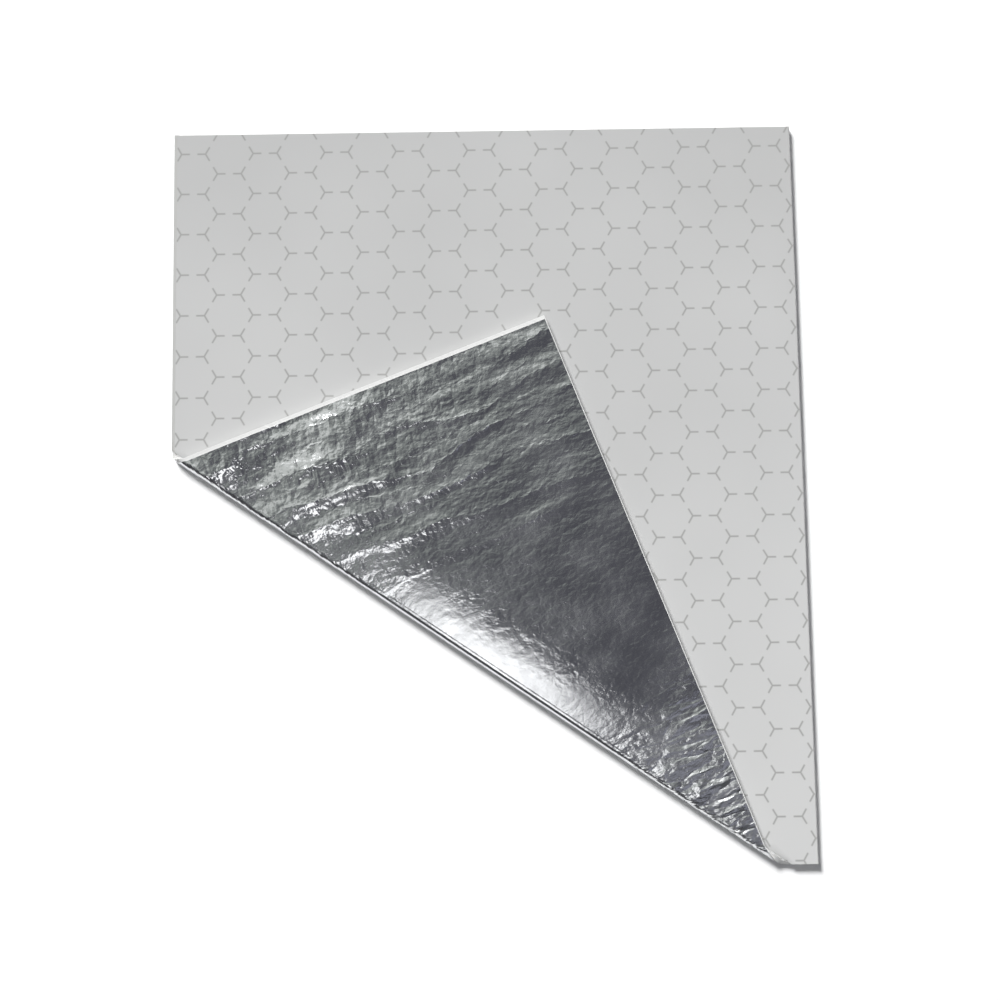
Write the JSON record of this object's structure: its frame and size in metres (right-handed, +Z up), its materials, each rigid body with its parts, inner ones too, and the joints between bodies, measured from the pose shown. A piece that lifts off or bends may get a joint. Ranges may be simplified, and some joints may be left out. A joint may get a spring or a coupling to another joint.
{
  "type": "foil-faced foam mat",
  "caption": "Thin rectangular closed-cell foam mat with a crinkled foil face and a printed peel-off liner, one corner folded diagonally over the top.",
  "frame": {"origin": "middle of the mat's footprint, on the surface that it lies on", "axes": "+Y along the mat's long side, +X along its short side, +Z up from the foil underside; the folded corner is the one at -X, -Y"},
  "size_m": [0.51, 0.6, 0.012],
  "materials": {
    "foil": "polished",
    "foam": "matte",
    "adhesive": "satin",
    "liner": "satin"
  },
  "bodies": {
    "base": {"foil_base": "foil", "foam_base": "foam", "adhesive_base": "adhesive", "liner_base": "liner"},
    "bend_1": {"foil_bend_1": "foil", "foam_bend_1": "foam", "adhesive_bend_1": "adhesive", "liner_bend_1": "liner"},
    "bend_2": {"foil_bend_2": "foil", "foam_bend_2": "foam", "adhesive_bend_2": "adhesive", "liner_bend_2": "liner"},
    "bend_3": {"foil_bend_3": "foil", "foam_bend_3": "foam", "adhesive_bend_3": "adhesive", "liner_bend_3": "liner"},
    "flap": {"foil_flap": "foil", "foam_flap": "foam", "adhesive_flap": "adhesive", "liner_flap": "liner"}
  },
  "joints": [
    {"name": "fold_1", "type": "hinge", "parent": "base", "child": "bend_1", "pos_m": [-0.01309, -0.13245, 0.00031], "axis": [0.8246, -0.5657, 0], "range_deg": [0, 45.09]},
    {"name": "fold_2", "type": "hinge", "parent": "bend_1", "child": "bend_2", "pos_m": [-0.01498, -0.1352, 0.00366], "axis": [0.8246, -0.5657, 0], "range_deg": [0, 45.09]},
    {"name": "fold_3", "type": "hinge", "parent": "bend_2", "child": "bend_3", "pos_m": [-0.01497, -0.13519, 0.00838], "axis": [0.8246, -0.5657, 0], "range_deg": [0, 45.09]},
    {"name": "fold_4", "type": "hinge", "parent": "bend_3", "child": "flap", "pos_m": [-0.01307, -0.13242, 0.0117], "axis": [0.8246, -0.5657, 0], "range_deg": [0, 45.09]}
  ],
  "couplings": [
    {"joint": "fold_2", "follows": "fold_1", "ratio": 1},
    {"joint": "fold_3", "follows": "fold_1", "ratio": 1},
    {"joint": "fold_4", "follows": "fold_1", "ratio": 1}
  ]
}
